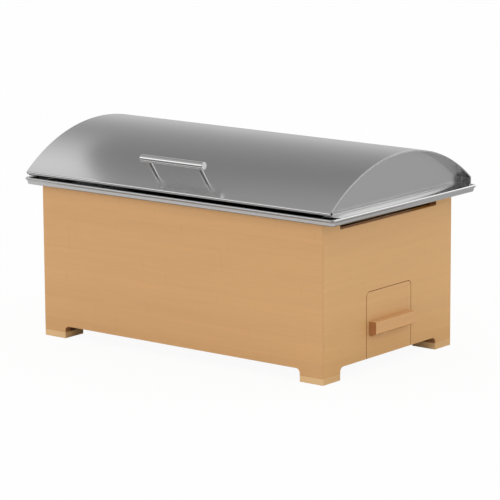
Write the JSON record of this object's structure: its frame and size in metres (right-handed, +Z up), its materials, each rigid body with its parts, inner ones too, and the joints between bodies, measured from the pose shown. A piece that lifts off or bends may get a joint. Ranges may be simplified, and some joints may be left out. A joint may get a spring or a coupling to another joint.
{
  "type": "chafing dish",
  "caption": "Chafing dish: bamboo housing with fuel drawers in its ends, steel pan frame, water pan, food pan and a hinged barrel lid with a bar handle.",
  "frame": {"origin": "on the table, below the middle of the whole dish's outline", "axes": "+X towards the right-hand drawer, +Y towards the hinges at the back, +Z up"},
  "size_m": [0.617, 0.3794, 0.3336],
  "materials": {
    "bamboo_front": "clear satin lacquer over horizontal bamboo strips",
    "bamboo_end": "clear satin lacquer over horizontal bamboo strips",
    "bamboo_inner": "sanded, unlacquered",
    "bamboo_pad": "pale, clear satin lacquer",
    "bamboo_pull": "clear satin lacquer",
    "screw_steel": "plain",
    "frame_steel": "polished",
    "pan_steel": "satin",
    "lid_steel": "fine satin, polished along its length",
    "cap_steel": "mirror polished",
    "handle_steel": "polished",
    "tray_steel": "satin",
    "can_tin": "plain tinplate"
  },
  "bodies": {
    "housing": {"front_panel": "bamboo_front", "back_panel": "bamboo_front", "left_end_panel": "bamboo_end", "right_end_panel": "bamboo_end", "floor_panel": "bamboo_inner", "front_left_block": "bamboo_inner", "front_right_block": "bamboo_inner", "back_left_block": "bamboo_inner", "back_right_block": "bamboo_inner", "front_left_pad": "bamboo_pad", "front_right_pad": "bamboo_pad", "back_left_pad": "bamboo_pad", "back_right_pad": "bamboo_pad", "front_floor_cleat": "bamboo_inner", "back_floor_cleat": "bamboo_inner", "floor_screws": "screw_steel", "front_drawer_guide": "bamboo_inner", "back_drawer_guide": "bamboo_inner", "guide_screws": "screw_steel", "pan_frame": "frame_steel", "frame_screws": "screw_steel", "water_pan": "pan_steel", "food_pan": "pan_steel", "left_hinge_base": "frame_steel", "right_hinge_base": "frame_steel", "left_hinge_pin": "frame_steel", "right_hinge_pin": "frame_steel", "hinge_rivets": "screw_steel"},
    "lid": {"lid_barrel": "lid_steel", "lid_left_cap": "cap_steel", "lid_right_cap": "cap_steel", "left_hinge_leaf": "frame_steel", "right_hinge_leaf": "frame_steel", "lid_handle_bar": "handle_steel", "lid_handle_left_post": "handle_steel", "lid_handle_right_post": "handle_steel", "lid_handle_screws": "screw_steel", "lid_handle_washers": "screw_steel"},
    "right_drawer": {"right_door": "bamboo_end", "right_pull": "bamboo_pull", "right_pull_screws": "screw_steel", "right_tray": "tray_steel", "right_tray_screws": "screw_steel", "right_cup": "tray_steel", "right_cup_rivet": "screw_steel", "right_fuel_can": "can_tin"},
    "left_drawer": {"left_door": "bamboo_end", "left_pull": "bamboo_pull", "left_pull_screws": "screw_steel", "left_tray": "tray_steel", "left_tray_screws": "screw_steel", "left_cup": "tray_steel", "left_cup_rivet": "screw_steel", "left_fuel_can": "can_tin"}
  },
  "joints": [
    {"name": "lid_hinge", "type": "hinge", "parent": "housing", "child": "lid", "pos_m": [0, 0.18615, 0.261], "axis": [-1, 0, 0], "range_deg": [0, 90]},
    {"name": "right_drawer_slide", "type": "slide", "parent": "housing", "child": "right_drawer", "axis": [1, 0, 0], "range_m": [0, 0.19]},
    {"name": "left_drawer_slide", "type": "slide", "parent": "housing", "child": "left_drawer", "axis": [-1, 0, 0], "range_m": [0, 0.19]}
  ]
}
